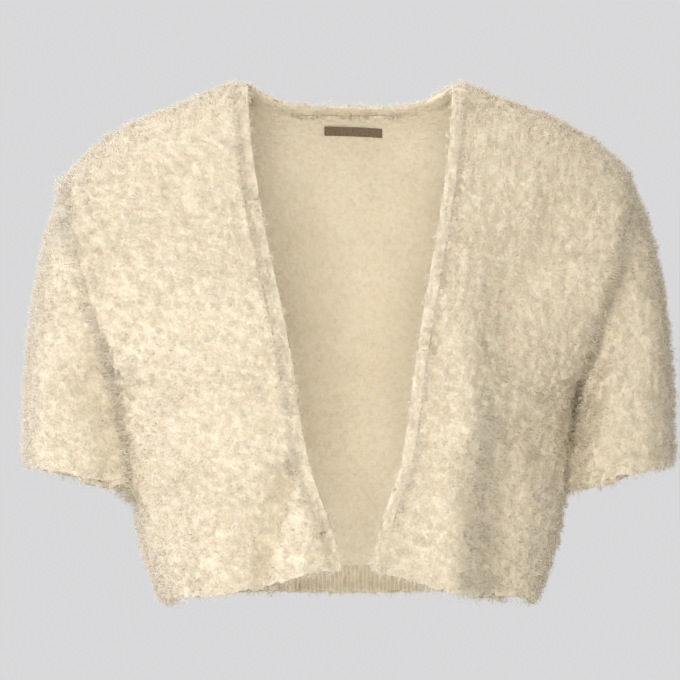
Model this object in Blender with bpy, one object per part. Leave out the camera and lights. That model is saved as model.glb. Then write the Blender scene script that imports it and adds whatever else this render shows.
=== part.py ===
"""Knitted shrug: a cropped, open-fronted cardigan with short dropped sleeves, in a fluffy cream yarn.

It is filled out as worn, with nobody in it. +X is the wearer's left, -Y the front and +Z up. The origin
lies midway between the two neck points, on the shoulder line, on the inner face of the cloth. Every size
below is in millimetres, and the meshes are made in metres.

The whole garment is first drawn as one thin surface, its inner face. Folds move that surface, and then
each piece takes its own part of it and gets its thickness along normals that all the pieces share, so that
neighbours meet edge to edge.
"""

import math
from collections import namedtuple

import bmesh
import bpy
import numpy as np
from mathutils import Vector
from mathutils.bvhtree import BVHTree

METRES = 0.001

# The cloth
WALL = 5.0  # knit ground and the pile that stands on it
RIB_WALL = 4.0  # the knitted-in rib along the hem and the cuffs, where the pile is short
SEAM_INSET = 0.17  # how far each piece stops short of a seam, which leaves about 0.3 between two
WELD = 0.001  # points closer than this are one point
PRESSED = 0.45  # how much of the wall is pressed flat where body and sleeve touch under the arm
PRESSED_REACH = 12.0  # from that point to either side, and upwards
PRESSED_LENGTH = 3.0  # how many times that it reaches to the front and back
SHARPEST_CORNER = 0.5  # keeps the draw-back short in a sharp corner
NORMAL_SMOOTHING = 3  # rounds of evening out the directions in which the wall is built up
SHARP_ANGLE = 50.0  # in degrees: where faces meet more sharply than this, the edge is not smoothed
BAND_WIDTH = 9.0  # the strip that edges the fronts and the back neck

# Where the pieces meet
NECK_POINT = 88.0  # from the centre to each neck point
NECK_DROP = 17.0  # from the neck points down to the middle of the back neck
NECK_SQUARENESS = 5.0  # how flat the back neck runs before it turns up
NECK_CROWDING = 0.6  # how much closer together the back's middle columns lie near the neck points
BAND_FALL = 0.61  # height that a millimetre of the band's width takes at the middle of the back neck
SIDE_HEM = -433.0  # height of the hem at the side seams
BACK_LINE_AT_HEM = 68.0  # where the line that falls from each neck point meets the back's hem
UNDERARM = -250.0  # height where side seam, sleeve seam and armhole meet
UNDERARM_ROUND = 7.0  # radius of the arch between the body and the sleeve
ARCH_SPREAD = 50.0  # the same radius where the arch begins, in front and behind
ARCH_START = 0.59  # and where that is, as a share of the turn from the middle of the body to its side
SHOULDER_TIP = -86.0  # height where shoulder seam and armhole meet
RIDGE_ROUND = 60.0  # height over which the shoulders round off

# How many strips each surface has
PANEL_COLUMNS = 16  # from the band, or from the middle of the back, to the side seam
BACK_COLUMNS = 6  # from the centre back to the line below the neck point
BAND_COLUMNS = 2
LOWER_ROWS = 13  # from the hem to the underarm
ARCH_ROWS = 3  # of those, the ones that follow the arch at the underarm
RIB_ROWS = 2  # of those, the ones in the rib
RIB_SHARE = 0.11  # of the height from the hem to the underarm
UPPER_ROWS = 12  # from the underarm to the shoulder
SLEEVE_ROWS = 12

Section = namedtuple("Section", "height half_width squareness")
Side = namedtuple("Side", "height half_width")
Depth = namedtuple("Depth", "height front back")
Opening = namedtuple("Opening", "height half_gap lean")
Ridge = namedtuple("Ridge", "half_width height")
Hem = namedtuple("Hem", "half_width front back")
Fold = namedtuple("Fold", "face foot_x foot_z head_x head_z spread depth")

# The body's sections below the underarm, without the arch. A squareness of 2 is an ellipse.
BODY_SECTIONS = [
    Section(-440, 154, 2.2),
    Section(-405, 165, 2.2),
    Section(-370, 174, 2.2),
    Section(-320, 181, 2.3),
    Section(-285, 184, 2.5),
    Section(-250, 185, 2.8),
]

# The sections that the yoke is part of, which the armholes cut short
YOKE_SECTIONS = [
    Section(-250, 192, 2.6),
    Section(-246, 196, 2.55),
    Section(-239, 202, 2.47),
    Section(-226, 215, 2.35),
    Section(-178, 262, 2.2),
    Section(-140, 282, 2.2),
    Section(-86, 288, 2.2),
    Section(0, 290, 2.2),
]

# The armhole's edge, seen from the front
ARMHOLE = [
    Side(-250, 192),
    Side(-230, 199),
    Side(-192, 211),
    Side(-150, 223),
    Side(-110, 233),
    Side(-86, 237),
]

DEPTHS = [
    Depth(-440, 108, 84),
    Depth(-370, 112, 86),
    Depth(-300, 117, 90),
    Depth(-260, 119, 94),
    Depth(-230, 117.5, 97),
    Depth(-200, 112, 98),
    Depth(-170, 103, 98),
    Depth(-120, 85, 93),
    Depth(-60, 68, 80),
    Depth(0, 56, 60),
]

# The front opening's two edges. It leans a little to the wearer's left on its way down.
OPENINGS = [
    Opening(-440, 10, 5),
    Opening(-405, 12.5, 5),
    Opening(-385, 17, 5),
    Opening(-356, 25, 4.5),
    Opening(-320, 38, 4),
    Opening(-293, 43.5, 3.5),
    Opening(-228, 52.5, 3),
    Opening(-150, 67.5, 1.5),
    Opening(-105, 76.5, 0.5),
    Opening(-50, 84, 0),
    Opening(0, NECK_POINT, 0),
]

# The top line of the shoulders
RIDGES = [
    Ridge(0, 0),
    Ridge(NECK_POINT, 0),
    Ridge(112, -9),
    Ridge(140, -20),
    Ridge(170, -31),
    Ridge(192, -42),
    Ridge(212, -56),
    Ridge(228, -71),
    Ridge(237, SHOULDER_TIP),
    Ridge(290, -250),
]

HEMS = [
    Hem(0, -404, -437),
    Hem(25, -406, -437),
    Hem(45, -411, -436.5),
    Hem(72, -421, -436),
    Hem(115, -427.5, -435),
    Hem(160, -433, -433),
]

# The cuff, a ring round the arm, and how the sleeve reaches it
CUFF_CENTRE = (229.5, -4.0, -329.0)
CUFF_HALF_WIDTH = 42.5
CUFF_HALF_DEPTH = 60.0
CUFF_RISE = 9.5  # how much higher than its centre the ring's outer side is
CUFF_SQUARENESS = 2.15
CUFF_DIRECTION = (0.03, 0.0, -1.0)
UNDERARM_DIRECTION = (1.0, 0.0, 0.0)
SHOULDER_DIRECTION = (0.42, 0.0, -0.91)
LEAVE_TURN = 0.3  # how far the sleeve turns back from the armhole's front and back edges
UNDERARM_PULL = 0.58  # how long the sleeve keeps its first direction, as a share of its length
SHOULDER_PULL = 0.85
CUFF_PULL = 0.9
SLEEVE_CROWDING = 1.1  # rows lie closer together near the armhole

# Soft folds, each along the line from its foot to its head. A positive depth is a trough.
FOLDS = [
    Fold("front", 109, -440, 109.5, -310, 17, 13),
    Fold("front", 112, -262, 130, -165, 17, 5),
    Fold("front", 66, -430, 74, -310, 18, -4.5),
    Fold("front", 168, -430, 165, -385, 12, 4),
    Fold("front", 128, -168, 156, -118, 16, 4),
    Fold("front", -76, -425, -61, -335, 14, 5),
    Fold("front", -140, -440, -132, -330, 17, 3.5),
    Fold("front", 244, -345, 238, -225, 14, 3),
    Fold("front", -236, -345, -232, -250, 14, 2.5),
    Fold("back", 98, -445, 88, -300, 17, 8),
    Fold("back", -62, -445, -70, -330, 16, 6),
    Fold("back", -128, -445, -120, -250, 18, 7),
    Fold("back", 30, -445, 26, -370, 15, 4),
    Fold("back", 235, -345, 232, -230, 14, 3),
    Fold("back", -240, -345, -234, -215, 14, 3),
]
FOLD_RUNOUT = 1.8  # how far past its ends a fold dies away, in spreads
FOLD_WRAP = 1.6  # how far round to the side a fold keeps its depth

# The label inside the back neck: its middle, size and thickness
LABEL_CENTRE = (4.0, -35.0)
LABEL_WIDTH = 50.0
LABEL_HEIGHT = 7.5
LABEL_THICKNESS = 1.0
LABEL_GAP = 0.35  # to the cloth, at its sewn ends
LABEL_BOW = 0.8  # how far its middle stands off the cloth
LABEL_DROOP = 0.8  # how much lower its ends are than its middle
LABEL_TILT = -1.0  # and how much higher its end on the wearer's left is
LABEL_COLUMNS = 8
LABEL_ROWS = 2

# Principled materials: base colour, roughness
CREAM_PILE = ((0.87, 0.77, 0.60), 0.95)
CREAM_BAND = ((0.89, 0.80, 0.64), 0.9)
LABEL_BROWN = ((0.10, 0.06, 0.035), 0.7)


def smooth(rows, key, value):
    """A smooth curve through a table's rows that never overshoots them, from one column to another."""
    x = np.array([getattr(row, key) for row in rows], float)
    y = np.array([getattr(row, value) for row in rows], float)
    chord = np.diff(y) / np.diff(x)
    slope = np.concatenate([chord[:1], np.zeros(len(x) - 2), chord[-1:]])
    for i in range(1, len(x) - 1):
        if chord[i - 1] * chord[i] > 0:
            slope[i] = 2 * chord[i - 1] * chord[i] / (chord[i - 1] + chord[i])

    def at(position):
        p = min(max(position, x[0]), x[-1])
        i = min(int(np.searchsorted(x, p, side="right")) - 1, len(x) - 2)
        span = x[i + 1] - x[i]
        t = (p - x[i]) / span
        start, start_pull, end, end_pull = hermite(t)
        return start * y[i] + start_pull * span * slope[i] + end * y[i + 1] + end_pull * span * slope[i + 1]

    return at


def hermite(t):
    """The weights of the start, its tangent, the end and its tangent, a share t of the way along."""
    return 2 * t**3 - 3 * t**2 + 1, t**3 - 2 * t**2 + t, 3 * t**2 - 2 * t**3, t**3 - t**2


def mix(a, b, share):
    return a + (b - a) * share


def ease(share):
    return (1 - math.cos(math.pi * share)) / 2


body_side = smooth(BODY_SECTIONS, "height", "half_width")
body_squareness = smooth(BODY_SECTIONS, "height", "squareness")
yoke_side = smooth(YOKE_SECTIONS, "height", "half_width")
yoke_squareness = smooth(YOKE_SECTIONS, "height", "squareness")
armhole_side = smooth(ARMHOLE, "height", "half_width")
depth_of = {face: smooth(DEPTHS, "height", face) for face in ("front", "back")}
half_gap = smooth(OPENINGS, "height", "half_gap")
lean = smooth(OPENINGS, "height", "lean")
ridge = smooth(RIDGES, "half_width", "height")
hem_of = {face: smooth(HEMS, "half_width", face) for face in ("front", "back")}


def arch(x, z):
    """How far the arch at the underarm carries the body outwards at x and height z."""
    turn = math.asin(min(x / body_side(z), 1.0)) / (math.pi / 2)
    closeness = max(0.0, (turn - ARCH_START) / (1 - ARCH_START))
    reach = mix(ARCH_SPREAD, UNDERARM_ROUND, closeness**2)
    climb = min(max(0.0, z - (UNDERARM - reach)) / reach, 1.0)
    return UNDERARM_ROUND * closeness * (1 - math.sqrt(1 - climb**2))


def body_point(x, z, face, in_yoke=True):
    """The point of the body's inner face at (x, z), in front or behind."""
    half_width, squareness = (yoke_side, yoke_squareness) if in_yoke else (body_side, body_squareness)
    power = squareness(z)
    across = min(abs(x) / half_width(z), 1.0)
    section = (1 - across**power) ** (1 / power)
    below_ridge = min(max((ridge(abs(x)) - z) / RIDGE_ROUND, 0.0), 1.0)
    roof = math.sqrt(1 - (1 - below_ridge) ** 2)
    y = depth_of[face](z) * section * roof
    return np.array([x, -y if face == "front" else y, z])


# Rows of the body run from the hem up. The first LOWER_ROWS of them end at the underarm.


def lower_share(row):
    """How far a lower row is from the hem to the underarm."""
    if row <= RIB_ROWS:
        return RIB_SHARE * row / RIB_ROWS
    return mix(RIB_SHARE, 1.0, (row - RIB_ROWS) / (LOWER_ROWS - RIB_ROWS))


def lower_height(row, hem, toward_side):
    """Height of a lower row: evenly spaced away from the side, and along the arch at the side."""
    even = mix(hem, UNDERARM, lower_share(row))
    arch_foot = LOWER_ROWS - ARCH_ROWS
    if row > arch_foot:
        turn = math.pi / 2 * (row - arch_foot) / ARCH_ROWS
        at_side = UNDERARM - UNDERARM_ROUND * (1 - math.sin(turn))
    else:
        share = lower_share(row) / lower_share(arch_foot)
        at_side = mix(hem, UNDERARM - UNDERARM_ROUND, share)
    return mix(even, at_side, toward_side**2)


def upper_share(row):
    """How far an upper row is from the underarm to the shoulder."""
    return ease((row - LOWER_ROWS) / UPPER_ROWS)


def swing(inner, outer, section, share):
    """A distance from inner to outer, spaced by equal turns round a section of that half width."""
    first, last = math.asin(min(inner / section, 1.0)), math.asin(min(outer / section, 1.0))
    return section * math.sin(mix(first, last, share))


def distance(row, share, inner, z):
    """How far from the centre a panel's point is, from its inner line (0) to its side (1)."""
    if row <= LOWER_ROWS:
        return swing(inner(z), body_side(z), body_side(z), share)
    armhole = mix(UNDERARM, SHOULDER_TIP, upper_share(row))
    free_edge = mix(UNDERARM, ridge(NECK_POINT), upper_share(row))
    return swing(inner(free_edge), armhole_side(armhole), yoke_side(armhole), share)


def shoulder_distance(share):
    """The same along the shoulder line, from the band (0) to the armhole (1)."""
    return swing(NECK_POINT + BAND_WIDTH, armhole_side(SHOULDER_TIP), yoke_side(SHOULDER_TIP), share)


def panel_point(row, share, inner, top, face, side):
    """A point of a front or of half the back, in the column that ends at height top."""
    if row > LOWER_ROWS:
        z = mix(UNDERARM, top, upper_share(row))
        return body_point(side * distance(row, share, inner, z), z, face)
    hem_distance = distance(0, share, inner, SIDE_HEM)
    z = lower_height(row, hem_of[face](hem_distance), share)
    x = distance(row, share, inner, z)
    return body_point(side * x, z, face, in_yoke=False) + [side * arch(x, z), 0, 0]


def front_point(row, column, side):
    """A point of one front: the first BAND_COLUMNS are its band, and the rest its panel."""
    offset = BAND_WIDTH * min(column, BAND_COLUMNS) / BAND_COLUMNS
    share = max(column - BAND_COLUMNS, 0) / PANEL_COLUMNS

    def inner(z):
        return half_gap(z) + side * lean(z) + offset

    top = ridge(shoulder_distance(share) if share else NECK_POINT + offset)
    return panel_point(row, share, inner, top, "front", side)


def back_point(row, column):
    """A point of the back panel, whose middle column is 0."""
    central = central_share(column)
    share = max(abs(column) - BACK_COLUMNS, 0) / PANEL_COLUMNS
    if row <= LOWER_ROWS:
        way_up = 1 - mix(SIDE_HEM, UNDERARM, lower_share(row)) / SIDE_HEM
    else:
        way_up = 1 - mix(UNDERARM, 0, upper_share(row)) / SIDE_HEM
    line = mix(BACK_LINE_AT_HEM, NECK_POINT + BAND_WIDTH, way_up) * central

    def inner(z):
        return line

    top = ridge(shoulder_distance(share)) if share else neck_height(central, BAND_WIDTH)
    return panel_point(row, share, inner, top, "back", -1 if column < 0 else 1)


def central_share(column):
    """How far one of the back's middle columns is from the centre to the line below the neck point."""
    even = min(abs(column), BACK_COLUMNS) / BACK_COLUMNS
    return mix(even, math.sin(math.pi / 2 * even), NECK_CROWDING)


def neck_height(share, width):
    """Height of the back neck, share of the way to a neck point and width away from its free edge."""
    middle = -NECK_DROP - BAND_FALL * width
    return mix(middle, ridge(NECK_POINT + width), share**NECK_SQUARENESS)


def neck_point(row, column):
    """A point of the band round the back neck, from the back panel's edge (row 0) to the free edge."""
    side = -1 if column < 0 else 1
    share = central_share(column)
    width = BAND_WIDTH * (1 - row / BAND_COLUMNS)
    return body_point(side * share * (NECK_POINT + width), neck_height(share, width), "back")


def armhole_point(step, face, side):
    """A point of the armhole's edge, from the underarm (0) to the shoulder tip (UPPER_ROWS)."""
    z = mix(UNDERARM, SHOULDER_TIP, ease(step / UPPER_ROWS))
    return body_point(side * armhole_side(z), z, face)


def cuff_point(turn, side):
    """A point of the cuff's ring: turn 0 is beside the body, 1/4 in front and 1/2 outside."""
    power = 2 / CUFF_SQUARENESS
    angle = 2 * math.pi * turn
    across = -math.copysign(abs(math.cos(angle)) ** power, math.cos(angle))
    forward = math.copysign(abs(math.sin(angle)) ** power, math.sin(angle))
    x = CUFF_CENTRE[0] + CUFF_HALF_WIDTH * across
    y = CUFF_CENTRE[1] - CUFF_HALF_DEPTH * forward
    return np.array([side * x, y, CUFF_CENTRE[2] + CUFF_RISE * across])


def sleeve_point(row, step, side):
    """A point of one sleeve: rows run from cuff to armhole, and steps from the underarm round the front."""
    ring = 2 * UPPER_ROWS
    mirror = np.array([side, 1, 1])
    from_underarm = min(step, ring - step)
    raised = ease(from_underarm / UPPER_ROWS)
    start = armhole_point(from_underarm, "front" if step <= UPPER_ROWS else "back", side)
    end = cuff_point(step / ring, side)
    leave = mix(np.array(UNDERARM_DIRECTION), np.array(SHOULDER_DIRECTION), raised)
    leave[1] = LEAVE_TURN * math.sin(2 * math.pi * step / ring)
    leave = mirror * leave / np.linalg.norm(leave)
    length = np.linalg.norm(end - start)
    leave_pull = length * mix(UNDERARM_PULL, SHOULDER_PULL, raised)
    weights = hermite((1 - row / SLEEVE_ROWS) ** SLEEVE_CROWDING)
    arrive = mirror * CUFF_DIRECTION * CUFF_PULL * length
    return weights[0] * start + weights[1] * leave_pull * leave + weights[2] * end + weights[3] * arrive


def grid(point, rows, columns, *side):
    """The points of one surface, row by row."""
    return [[point(row, column, *side) for column in columns] for row in rows]


def piece_grids():
    """Each knitted piece's name, with the grids of points that its surface is made of."""
    body_rows = range(LOWER_ROWS + UPPER_ROWS + 1)
    band_columns = range(BAND_COLUMNS + 1)
    panel_columns = range(BAND_COLUMNS, BAND_COLUMNS + PANEL_COLUMNS + 1)
    across_back = BACK_COLUMNS + PANEL_COLUMNS
    sleeve_rows = range(SLEEVE_ROWS + 1)
    ring = range(2 * UPPER_ROWS + 1)
    pieces = {"back_panel": [grid(back_point, body_rows, range(-across_back, across_back + 1))]}
    for side, name in ((1, "left"), (-1, "right")):
        pieces[f"front_panel_{name}"] = [grid(front_point, body_rows, panel_columns, side)]
        pieces[f"sleeve_{name}"] = [grid(sleeve_point, sleeve_rows, ring, side)]
    pieces["front_neck_band"] = [
        grid(front_point, body_rows, band_columns, 1),
        grid(front_point, body_rows, band_columns, -1),
        grid(neck_point, band_columns, range(-BACK_COLUMNS, BACK_COLUMNS + 1)),
    ]
    return pieces


def fold_shift(point, normal):
    """How far the folds push a point, in millimetres, out along its normal."""
    total = 0.0
    for fold in FOLDS:
        run = Vector((fold.head_x - fold.foot_x, fold.head_z - fold.foot_z))
        offset = Vector((point.x - fold.foot_x, point.z - fold.foot_z))
        share = offset.dot(run) / run.length_squared
        aside = run.cross(offset) / run.length
        past_end = max(share - 1, -share, 0) * run.length
        faces_it = max(0.0, -normal.y if fold.face == "front" else normal.y)
        fade = math.exp(-((past_end / fold.spread / FOLD_RUNOUT) ** 2)) * min(1.0, FOLD_WRAP * faces_it)
        total -= fold.depth * math.exp(-((aside / fold.spread) ** 2)) * fade
    return total


def wall_at(point, in_rib):
    """How thick the wall is: thinner in the rib, and pressed flat under the arm."""
    aside = math.hypot(abs(point.x) - armhole_side(UNDERARM), point.y / PRESSED_LENGTH)
    above = max(0.0, point.z - UNDERARM)
    touch = math.exp(-((aside**2 + above**2) / PRESSED_REACH**2))
    return (RIB_WALL if in_rib else WALL) * (1 - PRESSED * touch)


def garment_surface(pieces):
    """The whole garment's inner face as one welded surface, its faces marked with their pieces' numbers."""
    mesh = bmesh.new()
    piece_mark = mesh.faces.layers.int.new("piece")
    wall_mark = mesh.verts.layers.float.new("wall")
    for number, lines in enumerate(pieces.values()):
        for points in lines:
            rows, columns = len(points) - 1, len(points[0]) - 1
            made = bmesh.ops.create_grid(mesh, x_segments=columns, y_segments=rows, size=1)["verts"]
            for vert in made:
                row, column = round((vert.co.y + 1) / 2 * rows), round((vert.co.x + 1) / 2 * columns)
                vert.co = Vector(points[row][column])
                vert[wall_mark] = wall_at(vert.co, in_rib=row < RIB_ROWS and rows > BAND_COLUMNS)
            for face in {face for vert in made for face in vert.link_faces}:
                face[piece_mark] = number
    bmesh.ops.remove_doubles(mesh, verts=mesh.verts, dist=WELD)
    bmesh.ops.recalc_face_normals(mesh, faces=mesh.faces)
    back = next(face for face in mesh.faces if face[piece_mark] == 0)
    if back.normal.y < 0:
        bmesh.ops.reverse_faces(mesh, faces=mesh.faces)
    mesh.normal_update()
    shifts = {vert: vert.normal * fold_shift(vert.co, vert.normal) for vert in mesh.verts}
    for vert, shift in shifts.items():
        vert.co += shift
    bmesh.ops.triangulate(mesh, faces=mesh.faces, quad_method="SHORT_EDGE")
    mesh.normal_update()
    mesh.verts.index_update()
    outward = mesh.verts.layers.float_vector.new("outward")
    rank = mesh.verts.layers.int.new("rank")
    for vert in mesh.verts:
        vert[outward] = vert.normal
        vert[rank] = vert.index
    for _ in range(NORMAL_SMOOTHING):
        calmer = {}
        for vert in mesh.verts:
            around = [edge.other_vert(vert)[outward] for edge in vert.link_edges]
            calmer[vert] = (vert[outward] + sum(around, Vector()) / len(around)).normalized()
        for vert, direction in calmer.items():
            vert[outward] = direction
    return mesh


def thicken(mesh, thickness):
    """Closes a thin surface into a wall: each point's copy moves out by what thickness() gives it."""
    rank = mesh.verts.layers.int["rank"]
    made = bmesh.ops.extrude_face_region(mesh, geom=mesh.faces[:])["geom"]
    outer = {vert for vert in made if isinstance(vert, bmesh.types.BMVert)}
    for vert in outer:
        vert.co += thickness(vert)
    bmesh.ops.recalc_face_normals(mesh, faces=mesh.faces)
    for face in mesh.faces[:]:
        outside = sorted((vert for vert in face.verts if vert in outer), key=lambda vert: vert[rank])
        inside = sorted((vert for vert in face.verts if vert not in outer), key=lambda vert: vert[rank])
        if outside and inside:
            bmesh.utils.face_split(face, inside[0], outside[-1])
    bmesh.ops.triangulate(mesh, faces=mesh.faces, quad_method="SHORT_EDGE")


def cut_piece(garment, number):
    """One piece of the garment's surface, drawn back a little from its seams and given its thickness.

    The narrow faces round its rim are split alike on both sides of a seam, so they stay parallel.
    """
    mesh = garment.copy()
    piece_mark = mesh.faces.layers.int["piece"]
    wall_mark = mesh.verts.layers.float["wall"]
    outward = mesh.verts.layers.float_vector["outward"]
    inward = {}
    for edge in mesh.edges:
        own = [face for face in edge.link_faces if face[piece_mark] == number]
        if len(own) == 1 and len(edge.link_faces) == 2:
            along = (edge.verts[1].co - edge.verts[0].co).normalized()
            across = own[0].calc_center_median() - edge.verts[0].co
            across = (across - along * across.dot(along)).normalized()
            for vert in edge.verts:
                inward.setdefault(vert, []).append(across)
    for vert, sides in inward.items():
        total = sum(sides, Vector())
        vert.co += total * SEAM_INSET * len(sides) / max(total.length_squared, SHARPEST_CORNER)
    others = [face for face in mesh.faces if face[piece_mark] != number]
    bmesh.ops.delete(mesh, geom=others, context="FACES")
    thicken(mesh, lambda vert: vert[outward] * vert[wall_mark])
    return mesh


def label_surface(garment):
    """The neck label, a strip that lies on the inside of the back and stands off a little at its middle."""
    cloth = BVHTree.FromBMesh(garment)
    mesh = bmesh.new()
    bmesh.ops.create_grid(mesh, x_segments=LABEL_COLUMNS, y_segments=LABEL_ROWS, size=1)
    backward = Vector((0, 1, 0))
    outward = mesh.verts.layers.float_vector.new("outward")
    rank = mesh.verts.layers.int.new("rank")
    mesh.verts.index_update()
    for vert in mesh.verts:
        vert[rank] = vert.index
        across, up = vert.co.x, vert.co.y
        x = LABEL_CENTRE[0] + LABEL_WIDTH / 2 * across
        z = LABEL_CENTRE[1] + LABEL_HEIGHT / 2 * up - LABEL_DROOP * across**2 + LABEL_TILT * across
        place, normal, _, _ = cloth.ray_cast(Vector((x, 0, z)), backward)
        vert.co = place - normal * (LABEL_GAP + LABEL_BOW * (1 - across**2))
        vert[outward] = -normal
    thicken(mesh, lambda vert: vert[outward] * LABEL_THICKNESS)
    return mesh


def principled(name, look):
    """A Principled material with a plain colour and roughness."""
    colour, roughness = look
    material = bpy.data.materials.new(name)
    material.use_nodes = True
    shader = material.node_tree.nodes["Principled BSDF"]
    shader.inputs["Base Color"].default_value = (*colour, 1)
    shader.inputs["Roughness"].default_value = roughness
    shader.inputs["Metallic"].default_value = 0
    return material


def add_object(name, mesh, material, collection):
    """Puts a mesh, drawn in millimetres, into the collection as a named object in metres."""
    bmesh.ops.scale(mesh, vec=(METRES, METRES, METRES), verts=mesh.verts)
    data = bpy.data.meshes.new(name)
    mesh.to_mesh(data)
    mesh.free()
    data.materials.append(material)
    data.shade_smooth()
    data.set_sharp_from_angle(angle=math.radians(SHARP_ANGLE))
    made = bpy.data.objects.new(name, data)
    collection.objects.link(made)
    return made


def main():
    for old in list(bpy.data.objects):
        bpy.data.objects.remove(old, do_unlink=True)
    collection = bpy.data.collections.new("knitted_shrug")
    bpy.context.scene.collection.children.link(collection)
    pile = principled("cream_pile", CREAM_PILE)
    band = principled("cream_band", CREAM_BAND)
    brown = principled("label_brown", LABEL_BROWN)
    pieces = piece_grids()
    garment = garment_surface(pieces)
    for number, name in enumerate(pieces):
        material = band if name == "front_neck_band" else pile
        add_object(name, cut_piece(garment, number), material, collection)
    add_object("neck_label", label_surface(garment), brown, collection)
    garment.free()


main()
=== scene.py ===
"""Looks of the knitted shrug: each knitted piece as a thin shell with its own curly pile, a woven label,
and a plain studio around them. Lengths are in metres, and left and right are the wearer's."""

import math
from collections import Counter, namedtuple

import bmesh
import bpy
import numpy as np
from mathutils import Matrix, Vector, noise
from mathutils.bvhtree import BVHTree
from mathutils.kdtree import KDTree


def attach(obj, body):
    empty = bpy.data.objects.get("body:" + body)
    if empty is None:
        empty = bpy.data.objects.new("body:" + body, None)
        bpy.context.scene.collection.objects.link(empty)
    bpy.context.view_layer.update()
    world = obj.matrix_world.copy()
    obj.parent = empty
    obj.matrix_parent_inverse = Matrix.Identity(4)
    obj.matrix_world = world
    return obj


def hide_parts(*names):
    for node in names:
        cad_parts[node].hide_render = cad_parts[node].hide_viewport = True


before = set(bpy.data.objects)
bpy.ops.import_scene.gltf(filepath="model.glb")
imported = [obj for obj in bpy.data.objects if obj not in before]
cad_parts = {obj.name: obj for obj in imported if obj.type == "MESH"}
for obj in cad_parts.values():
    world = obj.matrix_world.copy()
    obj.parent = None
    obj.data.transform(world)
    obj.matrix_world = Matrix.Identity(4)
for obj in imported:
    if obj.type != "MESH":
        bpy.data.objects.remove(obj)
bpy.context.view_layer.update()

MM = 0.001

# The shells
PILE_DEPTH = 2.9 * MM  # how far below the solid's outer face the knitted ground lies
RIM_BAND = 0.35  # faces whose normal leans less than this out of or into the garment are rims
FLAT_PAIR, SQUARE_PAIR = math.radians(30), math.radians(60)  # limits for two triangles to become one face
SHARP_EDGE = math.radians(50)
SOFT_CREASE = 0.4  # how sharp a free edge stays when the shell is smoothed
OUTER_CUTS = 1  # how often each edge of the outside is cut to carry the tufts
LUMP_HEIGHT = 1.1 * MM  # broad unevenness of the outside
LUMP_SIZE = 15 * MM
EDGE_REACH = 3.5 * MM  # how far the soft edge of the hem and the cuffs reaches past the solid
BAND_REACH = (3.0 * MM, 0.8 * MM)  # the same for the band's free edge, on the right and on the left
BAND_MIDDLE = (-20 * MM, 20 * MM)  # between these places along X the one turns into the other
TRUNK = (0.0, 0.0, -0.2)  # the middle of the body
ARM_TOP = (0.215, -0.002, -0.17)  # the middle line of the left sleeve
ARM_END = (0.2295, -0.004, -0.329)
SLEEVES = ("sleeve_left", "sleeve_right")
BAND = "front_neck_band"
LABEL = "neck_label"

# The seams
SEAM_REACH = 1.2 * MM  # a rim this close to another piece is a seam
SEAM_LAP = 0.7 * MM  # how far each side of a seam reaches over the gap between the solids
SEAM_FADE = 4.0 * MM  # tufts level out this close to a seam, so that both its sides lie even
SEAM_DEPTH = 0.45 * MM  # how far below the solid's outer face the shell lies at a seam
SEAM_DENSITY = 3.0  # how much thicker the curls grow along a seam, to hide it
EDGE_DENSITY = 1.6  # how much thicker the pile grows on the free edges
NECK_SEAM_FOOT = -60 * MM  # above this height the band's seam shows from inside
NECK_SEAM_DENSITY = 2.5  # how thick the curls are along it there

# Where a sleeve and the body lie together: how deep the pile sinks between them, how far the surface swells
# to meet the other side, and how far it laps over it
Side = namedtuple("Side", "valley bridge lap")
RIGHT_SIDE = Side(0, 12 * MM, 3.0 * MM)
LEFT_SIDE = Side(2.2 * MM, 3.2 * MM, 0.5 * MM)
ARMHOLE_REACH = 4 * max(RIGHT_SIDE.bridge, LEFT_SIDE.bridge)
VALLEY_WIDTH = 4.5 * MM
FULLY_FACING = 0.35  # a surface that leans this much towards the other side swells in full

# On the right side the curls close the armhole: they lie across it, thicker and higher than elsewhere
CLOSED_REACH = 14 * MM
CLOSED_FACING = 0.1  # where the surface leans this much towards the other side
CLOSED_DENSITY = 2.0
CLOSED_HEIGHT = 1.8

# The pile: curls and strays are numbers per square metre of cloth, and inner_share is how thick the pile
# grows on the inside, against the outside
Pile = namedtuple(
    "Pile", "curls strays inner_share tuft_gap tuft_height curl_width stray_length stray_width seed"
)


def long_pile(curls, strays, seed):
    return Pile(curls, strays, 0.16, 7.2 * MM, 2.6 * MM, 0.6 * MM, 9 * MM, 0.24 * MM, seed)


PILES = {
    "back_panel": long_pile(146e3, 100e3, 11),
    "front_panel_left": long_pile(172e3, 115e3, 12),
    "front_panel_right": long_pile(172e3, 115e3, 13),
    "sleeve_left": long_pile(172e3, 115e3, 14),
    "sleeve_right": long_pile(172e3, 115e3, 15),
    "front_neck_band": Pile(225e3, 160e3, 0.5, 6.2 * MM, 2.1 * MM, 0.6 * MM, 7 * MM, 0.22 * MM, 16),
}
LABEL_CLEAR = 3.5 * MM  # no pile grows this close to the label
INNER_HEIGHT = 0.5  # the height of the pile on the inside, against the outside

TUFT_TRIES = 3  # random places tried in each square of one tuft gap
TUFT_SPACING = 0.8  # the least distance between two tufts, in tuft gaps
TUFT_RADIUS = 0.62  # how far the ground is raised around a tuft's middle, in tuft gaps
TUFT_TOP = 1.7  # how high a tuft's curls stand, in tuft heights
TUFT_VARIES = (0.7, 1.2)  # the range of the tufts' heights
TUFT_DOME = 2.5 * MM  # how far below its top the middle of a tuft's round form lies
TUFT_LEVEL = 0.9  # how far a curl is lit as its whole tuft is, against its own place on the tuft
SAME_SIDE = 0.3  # a curl belongs to a tuft only where their surfaces face alike this much

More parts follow.
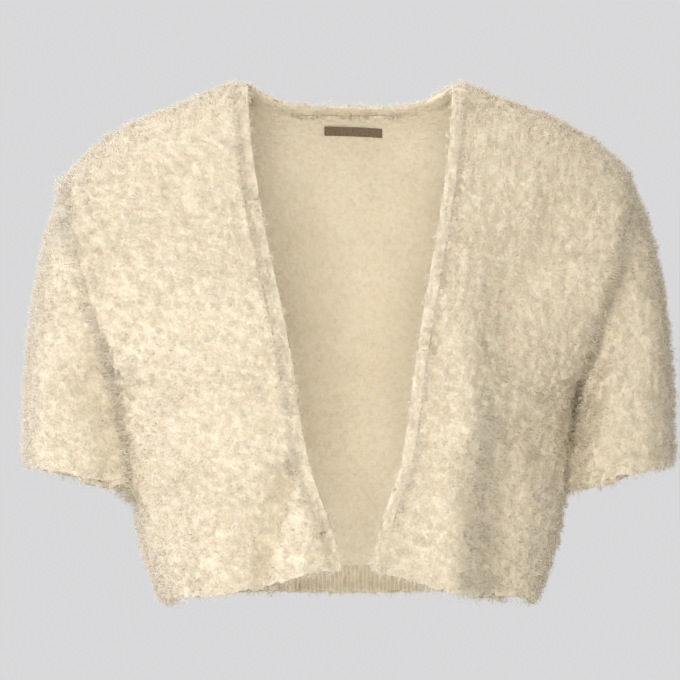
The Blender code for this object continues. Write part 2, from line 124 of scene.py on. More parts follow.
CROSSING = 0.35  # the share of curls that lie across the gaps between tufts
CROSSING_REACH = 0.6  # how far they reach, in tuft gaps
WANDER_AT_SEAM, WANDER_AT_ARMHOLE = 0.7, 0.5  # how far curls that cross a seam or an armhole stray aside
CURL_VARIES = (0.75, 1.15)  # the range of the curls' heights within one tuft
CURL_WILD = 0.4  # how far a curl's bends are off at random, in curl heights
CURL_SINK = 0.6  # how deep a curl is rooted in the ground, in millimetres
CURL_STEPS = (0, 0.35, 0.7, 1)  # where along a curl its ribbon has points
CURL_WIDTHS = (0.9, 1.0, 0.75, 0)  # how wide it is there
CURL_TURN = 0.8  # how far a curl's ribbon is turned about its line, in radians either way

STRAY_VARIES = (0.6, 1.2)  # the range of the strays' lengths
STRAY_STEPS = (0, 0.4, 0.75, 1)
STRAY_WIDTHS = (1, 0.9, 0.7, 0)
STRAY_TURN = 1.3
STRAY_SHADES = (0.4, 1)

RIBBON_TILT = 0.35  # how far a ribbon is lit by its own tilt, against that of its tuft
ROOT_SHADE_BY_PLACE, TONE_BY_CHANCE = 0.6, 0.4  # a ribbon is painted lighter towards its tip, as painted shade deep in the pile, and each has a tone of its own

# Creases that the solids leave out or hold more shallowly, in millimetres, each along a line from its foot
# to its head. A crease goes in by its depth, and a ridge is one with a depth below 0.
Crease = namedtuple("Crease", "face foot_x foot_z head_x head_z spread depth")
CREASES = [
    Crease("front", 178, -264, 138, -236, 7, 2.4),
    Crease("front", -180, -260, -146, -222, 8, 2.2),
    Crease("front", 172, -292, 148, -332, 8, 2.4),
    Crease("front", -172, -300, -150, -350, 9, 2.2),
    Crease("front", -118, -214, -160, -160, 11, 1.8),
    Crease("front", 206, -268, 240, -238, 7, 2.0),
    Crease("front", -205, -272, -243, -240, 7, 2.2),
    Crease("front", -182, -345, -197, -237, 10, -6.5),
    Crease("front", -199, -225, -229, -122, 11, -3.0),
    Crease("front", 214, -318, 246, -290, 8, 1.6),
    Crease("front", -214, -310, -238, -296, 8, 1.8),
    Crease("front", -75, -430, -50, -325, 9, 9.5),
    Crease("front", -46, -430, -24, -330, 10, -3.5),
    Crease("front", 127, -455, 130, -280, 15, 7.1),
    Crease("front", 145, -455, 159, -290, 26, 10.2),
    Crease("front", 89, -455, 102, -290, 20, -12.0),
    Crease("front", 104, -455, 102, -300, 11, -5.7),
    Crease("front", 108, -285, 100, -215, 18, -8.0),
    Crease("front", 148, -300, 185, -215, 16, 3.1),
    Crease("front", 140, -290, 118, -225, 16, -2.0),
    Crease("front", 130, -212, 168, -115, 12, 3.0),
    Crease("front", 152, -220, 188, -120, 24, 4.5),
    Crease("front", 85, -425, 83, -290, 14, -3.3),
    Crease("front", 176, -350, 190, -285, 7, 3.5),
    Crease("front", 196, -240, 238, -125, 8, 5.0),
    Crease("front", 212, -222, 238, -150, 12, 8.0),
    Crease("front", 234, -215, 252, -145, 16, 6.0),
    Crease("back", 176, -266, 128, -240, 8, 2.6),
    Crease("back", -178, -262, -120, -246, 9, 2.6),
    Crease("back", -166, -300, -148, -352, 9, 2.2),
    Crease("back", 160, -322, 140, -372, 9, 2.4),
    Crease("back", 210, -272, 242, -240, 7, 2.0),
    Crease("back", -208, -276, -244, -246, 7, 2.0),
    Crease("back", 74, -66, 22, -92, 13, 1.8),
    Crease("back", -88, -70, -40, -104, 13, 1.8),
]
CREASE_RUNOUT = 1.8  # how far past its ends a crease dies away, in spreads
SIDE_START, SIDE_SPAN = 12 * MM, 35 * MM  # creases begin this far from the side seams, and grow over this

# The sheets' cuts: width and length of each flat piece and its area
Cut = namedtuple("Cut", "width length area")

# Colours, as linear red, green and blue
WHITE = (1, 1, 1)
# The ground is painted darker than the curls' tips as shade deep under the pile. It is darkest in the
# hollows between its lumps, where its bump lies low: a mottled tone that is also painted shade.
GROUND_HOLLOW_SHADE = (0.78, 0.68, 0.51)
GROUND_MIDDLE = (0.86, 0.765, 0.59)
GROUND_LIGHT = (0.92, 0.845, 0.695)
GROUND_SHADE = (0.93, 0.92, 0.9)  # what broad patches of the ground are darkened by
# The inside is painted darker in the hollows between its lumps: a mottled tone that is also painted shade.
INSIDE_HOLLOW_SHADE = (0.88, 0.765, 0.57)
INSIDE_LIGHT = (0.95, 0.86, 0.685)
RIB_SHADE = (0.86, 0.84, 0.79)  # between the ribs: painted shade in the grooves
RIB_TOP = (1, 0.99, 0.97)
# The curls darken towards their roots: painted shade deep in the pile
CURL_ROOT_IN_SHADE = (0.825, 0.735, 0.58)
CURL_MIDDLE = (0.92, 0.85, 0.715)
CURL_TIP = (0.95, 0.91, 0.815)
CURL_SHADE = (0.95, 0.935, 0.91)
SHEEN_TINT = (1.0, 0.95, 0.86)
LABEL_DARK = (0.19, 0.135, 0.09)
LABEL_LIGHT = (0.31, 0.225, 0.16)
FLOOR_COLOUR = (0.75, 0.75, 0.75)
BACKDROP = (0.69, 0.69, 0.70)

# Textures: scales are the texture nodes' own
LUMPS_SCALE, PATCH_SCALE, CURL_PATCH_SCALE = 230, 22, 30
HEM_RIB_TOP = -0.412  # below this height the knit turns to rib on the inside
RIB_SCALE = 90  # gives ribs about 3.5 mm apart
GRAIN_HEIGHT, RIB_HEIGHT = 2.5 * MM, 1.2 * MM
WEAVE_SCALE, WEAVE_SPECKLE_SCALE, WEAVE_HEIGHT = 700, 900, 0.15 * MM
THROUGH_SHARE = 0.4  # how much of the light that meets a curl passes through it

# The studio: soft round lamps that face the garment, and the camera
Lamp = namedtuple("Lamp", "name place size power tint")
LAMPS = [
    Lamp("key_from_its_right", (-2.85, -1.1, 0.8), 1.5, 51, (0.975, 1.0, 1.12)),
    Lamp("front_fill", (-0.2, -3.2, 0.1), 2.0, 67, (1.0, 0.99, 0.965)),
    Lamp("top", (0.2, 0.5, 2.3), 1.6, 42, (1.0, 1.0, 1.0)),
    Lamp("back_fill", (-1.5, 2.8, 0.5), 2.0, 66, (1.0, 1.0, 1.0)),
    Lamp("far_side_fill", (3.0, 1.2, 0.3), 1.6, 10, (1.0, 1.0, 1.0)),
]
ROOM_LIGHT = 0.25  # what the surroundings add from all sides
LAMP_TARGET = (0.0, 0.0, -0.22)
FLOOR_RADIUS, FLOOR_HEIGHT, FLOOR_SEGMENTS = 1.35, -0.66, 96
CAMERA_TARGET = (-0.0075, 0.0, -0.2142)
CAMERA_DISTANCE = 4.0
CAMERA_RISE = math.radians(1.2)  # how far the camera looks down
VIEW_WIDTH = 0.578  # what the camera sees at its target's distance
SENSOR_WIDTH = 36  # in millimetres
CLIP_END = 50


# Points and meshes


def unit(vectors):
    return vectors / np.maximum(np.linalg.norm(vectors, axis=-1, keepdims=True), 1e-12)


def point_tree(points):
    tree = KDTree(len(points))
    for i, point in enumerate(points):
        tree.insert(point, i)
    tree.balance()
    return tree


def placed(name, data):
    """A new object in the scene."""
    made = bpy.data.objects.new(name, data)
    bpy.context.scene.collection.objects.link(made)
    return made


def mesh_points(mesh):
    flat = np.empty(len(mesh.vertices) * 3)
    mesh.vertices.foreach_get("co", flat)
    return flat.reshape(-1, 3)


def face_facts(mesh):
    """Centres and normals of a mesh's faces."""
    centres, normals = np.empty(len(mesh.polygons) * 3), np.empty(len(mesh.polygons) * 3)
    mesh.polygons.foreach_get("center", centres)
    mesh.polygons.foreach_get("normal", normals)
    return centres.reshape(-1, 3), normals.reshape(-1, 3)


def triangle_facts(mesh):
    """Corners of a mesh's triangles, normals of its vertices, and each triangle's area and face."""
    mesh.calc_loop_triangles()
    count = len(mesh.loop_triangles)
    corners, faces = np.empty(count * 3, int), np.empty(count, int)
    areas = np.empty(count)
    mesh.loop_triangles.foreach_get("vertices", corners)
    mesh.loop_triangles.foreach_get("polygon_index", faces)
    mesh.loop_triangles.foreach_get("area", areas)
    normals = np.empty(len(mesh.vertices) * 3)
    mesh.vertices.foreach_get("normal", normals)
    return corners.reshape(-1, 3), normals.reshape(-1, 3), areas, faces


def summed_normals(mesh, faces, normals):
    """At each vertex of a mesh, the sum of the normals of those of the faces that meet there."""
    total = np.zeros((len(mesh.vertices), 3))
    for face, normal in zip(faces, normals):
        total[list(mesh.polygons[face].vertices)] += normal
    return total


def welded(name):
    """A node's mesh as a bmesh with its split points joined."""
    mesh = bmesh.new()
    mesh.from_mesh(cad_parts[name].data)
    bmesh.ops.remove_doubles(mesh, verts=mesh.verts, dist=1e-6)
    return mesh


# How the pieces lie to each other and to the body


def outward_from_middle(points, name):
    """For each point, the direction away from the middle of the body or of its sleeve."""
    if name not in SLEEVES:
        return unit(points - np.array(TRUNK))
    mirror = np.array([1 if name.endswith("left") else -1, 1, 1])
    top, end = np.array(ARM_TOP) * mirror, np.array(ARM_END) * mirror
    run = end - top
    share = np.clip((points - top) @ run / (run @ run), 0, 1)
    return unit(points - top - share[:, None] * run)


def leaning(centres, normals, name):
    """How far each normal leans out of the garment: 1 straight out, -1 straight in."""
    return (normals * outward_from_middle(centres, name)).sum(1)


def near_others(points, name):
    """Whether each point lies next to another piece of the garment."""
    found = np.zeros(len(points), bool)
    for other, tree in TREES.items():
        if other != name:
            for i, point in enumerate(points):
                found[i] |= tree.find_nearest(Vector(point), SEAM_REACH)[0] is not None
    return found


def others_of(name):
    """The knitted pieces other than this one."""
    return [node for node in PILES if node != name]


def across_armhole(name):
    """The body's pieces for a sleeve, and the sleeves for a piece of the body."""
    return [node for node in PILES if (node in SLEEVES) != (name in SLEEVES)]


def gap_to(points, others, reach):
    """How far each point is from the nearest of the other pieces, up to reach, and the way to it."""
    gaps, ways = np.full(len(points), reach), np.zeros_like(points)
    for i, point in enumerate(points):
        for other in others:
            place, _, _, distance = TREES[other].find_nearest(Vector(point), gaps[i])
            if place is not None:
                gaps[i], ways[i] = distance, place - Vector(point)
    return gaps, unit(ways)


def across_closed(points, normals, name):
    """Which points face the other side of the right armhole from close by, and the way to it."""
    found, ways = np.zeros(len(points), bool), np.zeros_like(points)
    right = np.flatnonzero(points[:, 0] < 0)
    gaps, ways[right] = gap_to(points[right], across_armhole(name), CLOSED_REACH)
    found[right] = gaps < CLOSED_REACH
    return found & ((ways * normals).sum(1) > CLOSED_FACING), ways


def rim_faces(mesh, outside, name):
    """The rim faces, their normals, and which of them meet another piece."""
    centres, normals = face_facts(mesh)
    rims = np.flatnonzero((abs(leaning(centres, normals, name)) <= RIM_BAND) & (outside == 0))
    return rims, normals[rims], near_others(centres[rims], name)


# The shells


def crease_shift(points):
    """How far the creases push each point back towards the middle of the garment."""
    total = np.zeros(len(points))
    for crease in CREASES:
        foot = np.array([crease.foot_x, crease.foot_z]) * MM
        run = np.array([crease.head_x, crease.head_z]) * MM - foot
        length, offset = np.linalg.norm(run), points[:, [0, 2]] - foot
        share = offset @ run / length**2
        aside = (offset[:, 0] * run[1] - offset[:, 1] * run[0]) / length
        past = np.maximum(np.maximum(share - 1, -share), 0) * length
        spread = crease.spread * MM
        fade = np.exp(-((past / spread / CREASE_RUNOUT) ** 2) - (aside / spread) ** 2)
        faces_it = points[:, 1] < 0 if crease.face == "front" else points[:, 1] > 0
        total += crease.depth * MM * fade * faces_it
    return total * np.clip((abs(points[:, 1]) - SIDE_START) / SIDE_SPAN, 0, 1)


def smoothed(name):
    """A node's form with smooth curves between its points, its creases and slightly soft free edges."""
    mesh = welded(name)
    bmesh.ops.join_triangles(
        mesh, faces=mesh.faces, angle_face_threshold=FLAT_PAIR, angle_shape_threshold=SQUARE_PAIR
    )
    crease = mesh.edges.layers.float.new("crease_edge")
    sharp = [edge for edge in mesh.edges if edge.calc_face_angle(0) > SHARP_EDGE]
    at_seam = near_others([(edge.verts[0].co + edge.verts[1].co) / 2 for edge in sharp], name)
    for edge, joined_there in zip(sharp, at_seam):
        edge[crease] = 1 if joined_there else SOFT_CREASE
    data = bpy.data.meshes.new(name)
    mesh.to_mesh(data)
    mesh.free()
    rough = placed(name, data)
    smoother = rough.modifiers.new("smooth", "SUBSURF")
    smoother.render_levels = smoother.levels = 1
    made = bpy.data.meshes.new_from_object(rough.evaluated_get(bpy.context.evaluated_depsgraph_get()))
    bpy.data.objects.remove(rough)
    bpy.data.meshes.remove(data)
    points = mesh_points(made)
    points[:, 1] -= np.sign(points[:, 1]) * crease_shift(points)
    made.vertices.foreach_set("co", points.ravel())
    made.update()
    return made


def cut_outside(data, outside):
    """Marks the outside faces of a mesh and cuts their edges, so that they can carry the tufts."""
    mesh = bmesh.new()
    mesh.from_mesh(data)
    mark = mesh.faces.layers.int.new("outside")
    for face, out in zip(mesh.faces, outside):
        face[mark] = int(out)
    edges = [edge for edge in mesh.edges if any(face[mark] for face in edge.link_faces)]
    bmesh.ops.subdivide_edges(mesh, edges=edges, cuts=OUTER_CUTS, use_grid_fill=True)
    mesh.to_mesh(data)
    mesh.free()


def outside_marks(mesh):
    """1 for each face of the outside, and 0 for the others."""
    marks = np.zeros(len(mesh.polygons), np.int32)
    mesh.attributes["outside"].data.foreach_get("value", marks)
    return marks


def tuft_rise(places, tufts, look):
    """How far each place is raised by the tuft around it."""
    tree = point_tree(tufts)
    gap = np.array([tree.find(place)[2] for place in places]) / (look.tuft_gap * TUFT_RADIUS)
    return look.tuft_height * np.sqrt(np.clip(1 - gap**2, 0, 1))


def outside_shift(places, outward, tufts, name, look):
    """How each place of the outside moves from the solid's own form."""
    seam = 1 - gap_to(places, others_of(name), SEAM_FADE)[0] / SEAM_FADE
    depth, bridge, lap = (np.where(places[:, 0] < 0, *pair) for pair in zip(RIGHT_SIDE, LEFT_SIDE))
    gap, way = gap_to(places, across_armhole(name), ARMHOLE_REACH)
    facing = np.clip((way * outward).sum(1) / FULLY_FACING, 0, 1)
    swell = np.minimum(gap / 2 + lap, np.clip(2 * bridge - gap / 2, 0, bridge)) * facing
    valley = depth * np.exp(-((gap / VALLEY_WIDTH) ** 2)) * (1 - facing)
    lumps = LUMP_HEIGHT * np.array([noise.noise(Vector(place / LUMP_SIZE)) for place in places])
    level = (tuft_rise(places, tufts, look) + lumps - PILE_DEPTH) * (1 - seam) - SEAM_DEPTH * seam
    return outward * (level - valley)[:, None] + way * swell[:, None]


def shell(name, look, rng):
    """One knitted piece as a thin shell, its outside raised into small tufts below the ends of the pile."""
    data = smoothed(name)
    outside = leaning(*face_facts(data), name) > RIM_BAND
    tufts, _, _ = scatter(data, outside.astype(float), TUFT_TRIES / look.tuft_gap**2, rng)
    tufts = tufts[spaced(tufts, look.tuft_gap * TUFT_SPACING)]
    cut_outside(data, outside)

    points, outside = mesh_points(data), outside_marks(data)
    faces = np.flatnonzero(outside)
    outward = summed_normals(data, faces, face_facts(data)[1][faces])
    out = np.flatnonzero((outward**2).sum(1) > 0)
    points[out] += outside_shift(points[out], unit(outward[out]), tufts, name, look)

    rims, rim_normals, at_seam = rim_faces(data, outside, name)
    free_reach = np.interp(points[:, 0], BAND_MIDDLE, BAND_REACH) if name == BAND else EDGE_REACH
    for chosen, reach in ((at_seam, SEAM_LAP), (~at_seam, free_reach)):
        along = summed_normals(data, rims[chosen], rim_normals[chosen])
        points += unit(along) * (reach * ((along**2).sum(1) > 0))[:, None]
    seam_edges = Counter(key for face in rims[at_seam] for key in data.polygons[face].edge_keys)
    data.vertices.foreach_set("co", points.ravel())
    data.shade_smooth()
    for edge in data.edges:
        edge.use_edge_sharp = seam_edges[edge.key] == 1
    data.update()
    data.name = name + "_knit"
    return placed(name + "_knit", data)


# The pile


def scatter(mesh, weights, density, rng):
    """Random points on a mesh, their normals and their faces.

    There are density times the weight of the face of them per square metre.
    """
    corners, normals, areas, faces = triangle_facts(mesh)
    points = mesh_points(mesh)
    share = areas * weights[faces]
    count = int(round(share.sum() * density))
    chosen = rng.choice(len(share), count, p=share / share.sum())
    a, b = rng.random(count), rng.random(count)
    flip = a + b > 1
    a[flip], b[flip] = 1 - a[flip], 1 - b[flip]
    mix = np.stack([1 - a - b, a, b], 1)[:, :, None]
    corners = corners[chosen]
    return (points[corners] * mix).sum(1), unit((normals[corners] * mix).sum(1)), faces[chosen]


def spaced(points, gap):
    """Which of the points keep at least gap from each other, taken in order."""
    tree = point_tree(points)
    taken = np.ones(len(points), bool)
    for i, point in enumerate(points):
        if taken[i]:
            for _, j, _ in tree.find_range(point, gap):
                if j > i:
                    taken[j] = False
    return np.flatnonzero(taken)


def nearest(points, places):
    """For each point, which of the places is the nearest."""
    tree = point_tree(places)
    return np.array([tree.find(point)[1] for point in points])


def across(normals, rng):
    """A random direction along the surface at each normal."""
    wild = rng.normal(size=normals.shape)
    return unit(wild - (wild * normals).sum(1)[:, None] * normals)


def bezier(controls, steps):
    """Points and directions of cubic curves at the given steps from 0 to 1."""
    a, b, c, d = (control[:, None] for control in controls)
    t = np.array(steps)[None, :, None]
    places = a * (1 - t) ** 3 + 3 * b * t * (1 - t) ** 2 + 3 * c * t**2 * (1 - t) + d * t**3
    runs = 3 * (b - a) * (1 - t) ** 2 + 6 * (c - b) * t * (1 - t) + 3 * (d - c) * t**2
    return places, unit(runs)


def ribbons(controls, steps, widths, turn, domes, shade):
    """Tapered ribbons along cubic curves: points, triangles, normals and tones.

    steps says where along a curve its ribbon has points, and widths how wide it is there. turn is how far
    each ribbon is turned about its own line, domes the way each one's surface faces, and shade the lightness
    of each ribbon.
    """
    places, runs = bezier(controls, steps)
    facing = unit(domes)
    flat = unit(np.cross(runs, facing))
    up = np.cross(flat, runs)
    sine, cosine = np.sin(turn)[:, None, None], np.cos(turn)[:, None, None]
    wide = cosine * flat + sine * up
    half = (np.array(widths)[None, :, None]) / 2
    left, right = places - wide * half, places + wide * half
    points = np.concatenate([left[:, :-1], right[:, :-1], places[:, -1:]], 1).reshape(-1, 3)
    count, run = len(places), len(steps) - 1
    triangles = []
    for k in range(run - 1):
        triangles += [(k, run + k + 1, k + 1), (k, run + k, run + k + 1)]
    triangles.append((run - 1, 2 * run - 1, 2 * run))
    starts = np.arange(count) * (2 * run + 1)
    triangles = (np.array(triangles)[None] + starts[:, None, None]).reshape(-1, 3)
    lit = unit(facing + RIBBON_TILT * (cosine * up - sine * flat))
    normals = np.concatenate([lit[:, :-1], lit[:, :-1], lit[:, -1:]], 1).reshape(-1, 3)
    along = np.array(steps)
    along = np.concatenate([along[:-1], along[:-1], along[-1:]])[None]
    # tones darken towards the root: painted shade deep in the pile
    tones = along * ROOT_SHADE_BY_PLACE + shade[:, None] * TONE_BY_CHANCE
    return points, triangles, normals, tones.ravel()


def growth(mesh, name, look):
    """How thick the strays and the curls grow on each face of a shell, and which faces are inside."""
    centres, normals = face_facts(mesh)
    outside = outside_marks(mesh)
    inner = (leaning(centres, normals, name) < 0) & (outside == 0)
    thin = np.where(inner, look.inner_share, np.where(outside == 1, 1.0, EDGE_DENSITY))
    rims, _, at_seam = rim_faces(mesh, outside, name)
    thin[rims[at_seam]] = 0
    if name == "back_panel":
        for face in np.flatnonzero(inner):
            if TREES[LABEL].find_nearest(Vector(centres[face]), LABEL_CLEAR)[0] is not None:
                thin[face] = 0
    covered = np.flatnonzero(thin > 0)
    by_seam = covered[gap_to(centres[covered], others_of(name), SEAM_FADE)[0] < SEAM_FADE]
    at_neck = by_seam[inner[by_seam] & (centres[by_seam, 2] > NECK_SEAM_FOOT)]
    thick = thin.copy()
    thick[by_seam] *= SEAM_DENSITY
    thick[at_neck] = NECK_SEAM_DENSITY
    thick[across_closed(centres, normals, name)[0] & (thick <= 1)] *= CLOSED_DENSITY
    return thin, thick, inner


def curl_ribbons(mesh, name, look, thin, thick, inner, rng):
    """Curls that gather into small tufts. Some lie across gaps, seams and the right armhole instead."""
    tops, top_normals, top_faces = scatter(mesh, thin, TUFT_TRIES / look.tuft_gap**2, rng)
    kept = spaced(tops, look.tuft_gap * TUFT_SPACING)
    tops, top_normals, top_faces = tops[kept], top_normals[kept], top_faces[kept]
    heights = TUFT_TOP * look.tuft_height * rng.uniform(*TUFT_VARIES, len(tops))
    heights = heights * np.where(inner[top_faces], INNER_HEIGHT, 1)
    leans = across(top_normals, rng)

    roots, normals, _ = scatter(mesh, thick, look.curls, rng)
    own = nearest(roots, tops)
    same_side = (normals * top_normals[own]).sum(1) > SAME_SIDE
    roots, normals, own = roots[same_side], normals[same_side], own[same_side]
    top, up = tops[own], top_normals[own]
    gaps, ways = gap_to(roots, others_of(name), SEAM_FADE)
    at_seam = gaps < SEAM_FADE
    aside = across(normals, rng)
    aside[at_seam] = unit(ways + WANDER_AT_SEAM * aside)[at_seam]
    closed, ways = across_closed(roots, normals, name)
    across_it = closed & ~at_seam
    aside[across_it] = unit(ways + WANDER_AT_ARMHOLE * aside)[across_it]
    loose = at_seam | closed | (rng.random(len(own)) < CROSSING)
    top[loose] = (roots + aside * look.tuft_gap * CROSSING_REACH)[loose]
    up[loose] = normals[loose]

    height = heights[own] * rng.uniform(*CURL_VARIES, len(own)) * np.where(closed, CLOSED_HEIGHT, 1)
    height = height[:, None]
    wild = rng.normal(size=(3, len(own), 3)) * height * CURL_WILD
    controls = [  # from the root up, over the top of the tuft and down again
        roots - normals * CURL_SINK * MM,
        roots + normals * height * 0.9 + wild[0],
        top + up * height * 1.35 + wild[1],
        top + up * height * 0.5 + leans[own] * height * 0.7 + wild[2],
    ]
    places, _ = bezier(controls, CURL_STEPS)
    domes = unit(places - (top - up * TUFT_DOME)[:, None]) + TUFT_LEVEL * up[:, None]
    widths = look.curl_width * np.array(CURL_WIDTHS)
    turn = rng.uniform(-CURL_TURN, CURL_TURN, len(own))
    return ribbons(controls, CURL_STEPS, widths, turn, domes, rng.random(len(own)))


def stray_ribbons(mesh, look, thin, inner, rng):
    """Single hairs that stand out of the curls and bend over to any side."""
    roots, normals, faces = scatter(mesh, thin, look.strays, rng)
    length = (look.stray_length * rng.uniform(*STRAY_VARIES, len(roots)))[:, None]
    length = length * np.where(inner[faces], INNER_HEIGHT, 1)[:, None]
    aside, bend = across(normals, rng), across(normals, rng)
    controls = [  # out of the cloth, then over to one side and round
        roots,
        roots + normals * length * 0.4 + aside * length * 0.15,
        roots + normals * length * 0.65 + aside * length * 0.5 + bend * length * 0.2,
        roots + normals * length * 0.6 + aside * length * 0.7 + bend * length * 0.5,
    ]
    widths = look.stray_width * np.array(STRAY_WIDTHS)
    turn = rng.uniform(-STRAY_TURN, STRAY_TURN, len(roots))
    domes = np.repeat(normals[:, None], len(STRAY_STEPS), 1)
    return ribbons(controls, STRAY_STEPS, widths, turn, domes, rng.uniform(*STRAY_SHADES, len(roots)))


def ribbon_object(name, points, triangles, normals, tones):
    """Ribbons as one mesh object, with their tones as an attribute."""
    data = bpy.data.meshes.new(name)
    data.from_pydata(points.tolist(), [], triangles.tolist())
    # the tone carries the painted shade at the roots and each ribbon's own tone
    tone = data.attributes.new("tone", "FLOAT", "POINT")
    tone.data.foreach_set("value", tones.astype(np.float32))
    data.shade_smooth()
    data.normals_split_custom_set_from_vertices(normals.tolist())
    return placed(name, data)


# Materials


class Nodes:
    """Builds one material's nodes."""

    def __init__(self, name):
        self.material = bpy.data.materials.new(name)
        self.material.use_nodes = True
        self.tree = self.material.node_tree
        self.shader = self.tree.nodes["Principled BSDF"]

    def add(self, kind, **settings):
        node = self.tree.nodes.new(kind)
        for key, value in settings.items():
            setattr(node, key, value)
        return node

    def link(self, source, target):
        self.tree.links.new(source, target)

    def place(self):
        return self.add("ShaderNodeTexCoord").outputs["Object"]

    def attribute(self, name):
        return self.add("ShaderNodeAttribute", attribute_name=name).outputs["Fac"]

    def noise(self, where, scale, detail=2.0, roughness=0.5):
        node = self.add("ShaderNodeTexNoise")
        node.inputs["Scale"].default_value = scale
        node.inputs["Detail"].default_value = detail
        node.inputs["Roughness"].default_value = roughness
        self.link(where, node.inputs["Vector"])
        return node.outputs["Fac"]

    def bands(self, where, scale, distortion=0.0):
        """Stripes that follow each other along X."""
        node = self.add("ShaderNodeTexWave", wave_type="BANDS", bands_direction="X")
        node.inputs["Scale"].default_value = scale
        node.inputs["Distortion"].default_value = distortion
        self.link(where, node.inputs["Vector"])
        return node.outputs["Fac"]

    def ramp(self, value, stops):
        node = self.add("ShaderNodeValToRGB")
        elements = node.color_ramp.elements
        while len(elements) < len(stops):
            elements.new(0.5)
        for element, (position, colour) in zip(elements, stops):
            element.position = position
            element.color = (*colour, 1)
        self.link(value, node.inputs["Fac"])
        return node.outputs["Color"]

    def mixed(self, kind, share, first, second):
        node = self.add("ShaderNodeMix", data_type="RGBA", blend_type=kind)
        for key, value in (("Factor", share), ("A", first), ("B", second)):
            self.fill(next(s for s in node.inputs if s.name == key and s.enabled), value)
        return next(s for s in node.outputs if s.enabled)

    def math(self, kind, first, second):
        node = self.add("ShaderNodeMath", operation=kind)
        for socket, value in zip(node.inputs, (first, second)):
            self.fill(socket, value)
        return node.outputs[0]

    def fill(self, socket, value):
        """Sets a socket to a number, or links another one to it."""
        if isinstance(value, (int, float)):
            socket.default_value = value
        else:
            self.link(value, socket)

    def bump(self, height, distance, strength, before=None):
        node = self.add("ShaderNodeBump")
        node.inputs["Strength"].default_value = strength
        node.inputs["Distance"].default_value = distance
        self.link(height, node.inputs["Height"])
        if before is not None:
            self.link(before, node.inputs["Normal"])
        return node.outputs["Normal"]

    def cloth(self, roughness, sheen):
        inputs = self.shader.inputs
        inputs["Roughness"].default_value = roughness
        inputs["Specular IOR Level"].default_value = 0.2
        inputs["Sheen Weight"].default_value = sheen
        inputs["Sheen Roughness"].default_value = 0.45
        inputs["Sheen Tint"].default_value = (*SHEEN_TINT, 1)


def ground_material():
    """The knitted ground under the pile, with lumps where the pile is rooted and a rib inside the hem. Its
    colour carries painted shade: darker than the curls' tips as shade under the pile, and darker again in
    the hollows between its lumps and between its ribs.
    """
    nodes = Nodes("cream_knit_ground")
    where = nodes.place()
    lumps = nodes.noise(where, LUMPS_SCALE, detail=3, roughness=0.6)
    patches = nodes.noise(where, PATCH_SCALE)
    # both colours follow the same lumps as the bump and are darker where the lumps lie low: painted shade in
    # the hollows, mixed with a mottled tone
    colour = nodes.ramp(lumps, [(0.3, GROUND_HOLLOW_SHADE), (0.55, GROUND_MIDDLE), (0.75, GROUND_LIGHT)])
    inside = nodes.ramp(lumps, [(0.3, INSIDE_HOLLOW_SHADE), (0.6, INSIDE_LIGHT)])
    outer = nodes.attribute("outside")
    colour = nodes.mixed("MIX", outer, inside, colour)
    shade = nodes.ramp(patches, [(0.3, GROUND_SHADE), (0.7, WHITE)])
    colour = nodes.mixed("MULTIPLY", 1.0, colour, shade)
    height = nodes.add("ShaderNodeSeparateXYZ")
    nodes.link(where, height.inputs["Vector"])
    low = nodes.math("LESS_THAN", height.outputs["Z"], HEM_RIB_TOP)
    hem = nodes.math("MULTIPLY", low, nodes.math("SUBTRACT", 1, outer))
    rib = nodes.bands(where, RIB_SCALE, distortion=0.6)
    # painted shade between the ribs, where their bump lies low
    ribbed = nodes.ramp(rib, [(0.2, RIB_SHADE), (0.7, RIB_TOP)])
    nodes.link(nodes.mixed("MULTIPLY", hem, colour, ribbed), nodes.shader.inputs["Base Color"])
    grain = nodes.bump(lumps, GRAIN_HEIGHT, strength=0.9)
    ribs = nodes.math("MULTIPLY", rib, hem)
    both = nodes.bump(ribs, RIB_HEIGHT, strength=0.8, before=grain)
    nodes.link(both, nodes.shader.inputs["Normal"])
    nodes.cloth(roughness=0.95, sheen=0.35)
    return nodes.material


def pile_material():
    """The curls: painted darker at their roots as shade deep in the pile, a little uneven in tone, and thin
    enough to let light through.
    """
    nodes = Nodes("cream_curls")
    where = nodes.place()
    tone = nodes.attribute("tone")
    patches = nodes.noise(where, CURL_PATCH_SCALE)
    # darker towards the roots: painted shade deep in the pile
    colour = nodes.ramp(tone, [(0.05, CURL_ROOT_IN_SHADE), (0.4, CURL_MIDDLE), (0.85, CURL_TIP)])
    shade = nodes.ramp(patches, [(0.3, CURL_SHADE), (0.7, WHITE)])
    tinted = nodes.mixed("MULTIPLY", 1.0, colour, shade)
    nodes.link(tinted, nodes.shader.inputs["Base Color"])
    nodes.cloth(roughness=0.9, sheen=0.3)
    through = nodes.add("ShaderNodeBsdfTranslucent")
    nodes.link(tinted, through.inputs["Color"])
    both = nodes.add("ShaderNodeMixShader")
    both.inputs["Fac"].default_value = THROUGH_SHARE
    nodes.link(nodes.shader.outputs["BSDF"], both.inputs[1])
    nodes.link(through.outputs["BSDF"], both.inputs[2])
    nodes.link(both.outputs["Shader"], nodes.tree.nodes["Material Output"].inputs["Surface"])
    return nodes.material


def label_material():
    """A brown woven label: fine threads and a slight speckle."""
    nodes = Nodes("brown_woven_label")
    where = nodes.place()
    threads = nodes.bands(where, WEAVE_SCALE)
    speckle = nodes.noise(where, WEAVE_SPECKLE_SCALE)
    colour = nodes.ramp(speckle, [(0.35, LABEL_DARK), (0.65, LABEL_LIGHT)])
    nodes.link(colour, nodes.shader.inputs["Base Color"])
    nodes.link(nodes.bump(threads, WEAVE_HEIGHT, strength=0.8), nodes.shader.inputs["Normal"])
    nodes.cloth(roughness=0.6, sheen=0.2)
    return nodes.material


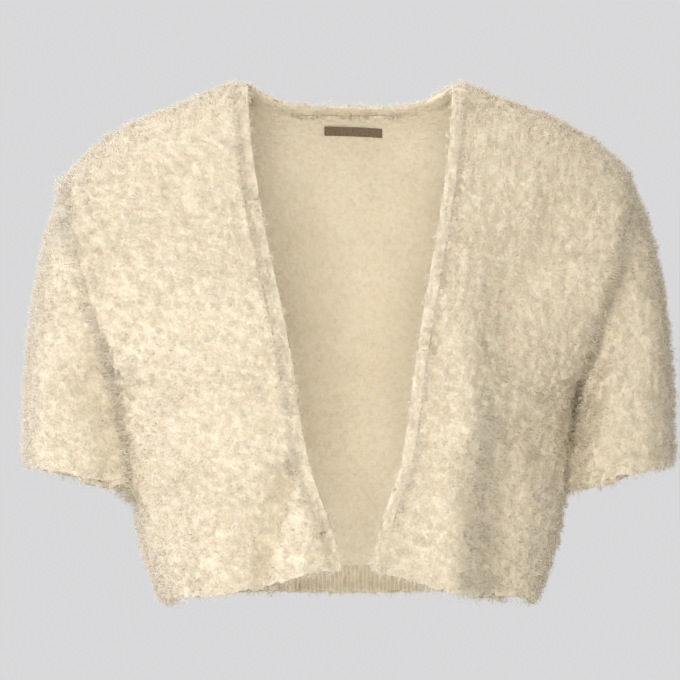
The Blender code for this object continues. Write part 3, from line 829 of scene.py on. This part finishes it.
def floor_material():
    nodes = Nodes("pale_floor")
    nodes.shader.inputs["Base Color"].default_value = (*FLOOR_COLOUR, 1)
    nodes.shader.inputs["Roughness"].default_value = 0.9
    return nodes.material


# The studio


def look_at(made, target):
    made.rotation_euler = (Vector(target) - made.location).to_track_quat("-Z", "Y").to_euler()


def soft_lamp(lamp):
    data = bpy.data.lights.new(lamp.name, "AREA")
    data.shape = "DISK"
    data.size = lamp.size
    data.energy = lamp.power
    data.color = lamp.tint
    made = placed(lamp.name, data)
    made.location = lamp.place
    look_at(made, LAMP_TARGET)


def backdrop():
    """A plain pale room: the camera sees BACKDROP, and ROOM_LIGHT comes from all sides."""
    world = bpy.data.worlds.new("studio")
    world.use_nodes = True
    tree = world.node_tree
    seen = tree.nodes["Background"]
    seen.inputs["Color"].default_value = (*BACKDROP, 1)
    light = tree.nodes.new("ShaderNodeBackground")
    light.inputs["Color"].default_value = (*WHITE, 1)
    light.inputs["Strength"].default_value = ROOM_LIGHT
    ray, mix = tree.nodes.new("ShaderNodeLightPath"), tree.nodes.new("ShaderNodeMixShader")
    tree.links.new(ray.outputs["Is Camera Ray"], mix.inputs["Fac"])
    tree.links.new(light.outputs["Background"], mix.inputs[1])
    tree.links.new(seen.outputs["Background"], mix.inputs[2])
    tree.links.new(mix.outputs["Shader"], tree.nodes["World Output"].inputs["Surface"])
    bpy.context.scene.world = world


def floor():
    disc = bmesh.new()
    bmesh.ops.create_circle(disc, cap_ends=True, segments=FLOOR_SEGMENTS, radius=FLOOR_RADIUS)
    data = bpy.data.meshes.new("floor")
    disc.to_mesh(data)
    disc.free()
    data.materials.append(floor_material())
    made = placed("floor", data)
    made.location = (0, 0, FLOOR_HEIGHT)


def camera():
    data = bpy.data.cameras.new("camera")
    data.sensor_width = SENSOR_WIDTH
    data.lens = SENSOR_WIDTH * CAMERA_DISTANCE / VIEW_WIDTH
    data.clip_end = CLIP_END
    made = placed("camera", data)
    away, up = CAMERA_DISTANCE * math.cos(CAMERA_RISE), CAMERA_DISTANCE * math.sin(CAMERA_RISE)
    made.location = (CAMERA_TARGET[0], CAMERA_TARGET[1] - away, CAMERA_TARGET[2] + up)
    look_at(made, CAMERA_TARGET)
    bpy.context.scene.camera = made


def studio():
    bpy.context.scene.view_settings.view_transform = "Standard"
    backdrop()
    for lamp in LAMPS:
        soft_lamp(lamp)
    floor()
    camera()


TREES = {}
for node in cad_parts:
    whole = welded(node)
    TREES[node] = BVHTree.FromBMesh(whole)
    whole.free()

ground, curls = ground_material(), pile_material()
for node, look in PILES.items():
    rng = np.random.default_rng(look.seed)
    knit = shell(node, look, rng)
    knit.data.materials.clear()
    knit.data.materials.append(ground)
    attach(knit, "root")
    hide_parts(node)
    thin, thick, inner = growth(knit.data, node, look)
    parts = {
        "curls": curl_ribbons(knit.data, node, look, thin, thick, inner, rng),
        "strays": stray_ribbons(knit.data, look, thin, inner, rng),
    }
    for kind, part in parts.items():
        hair = ribbon_object(f"{node}_{kind}", *part)
        hair.data.materials.append(curls)
        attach(hair, "root")

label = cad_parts[LABEL]
label.data.materials.clear()
label.data.materials.append(label_material())

studio()
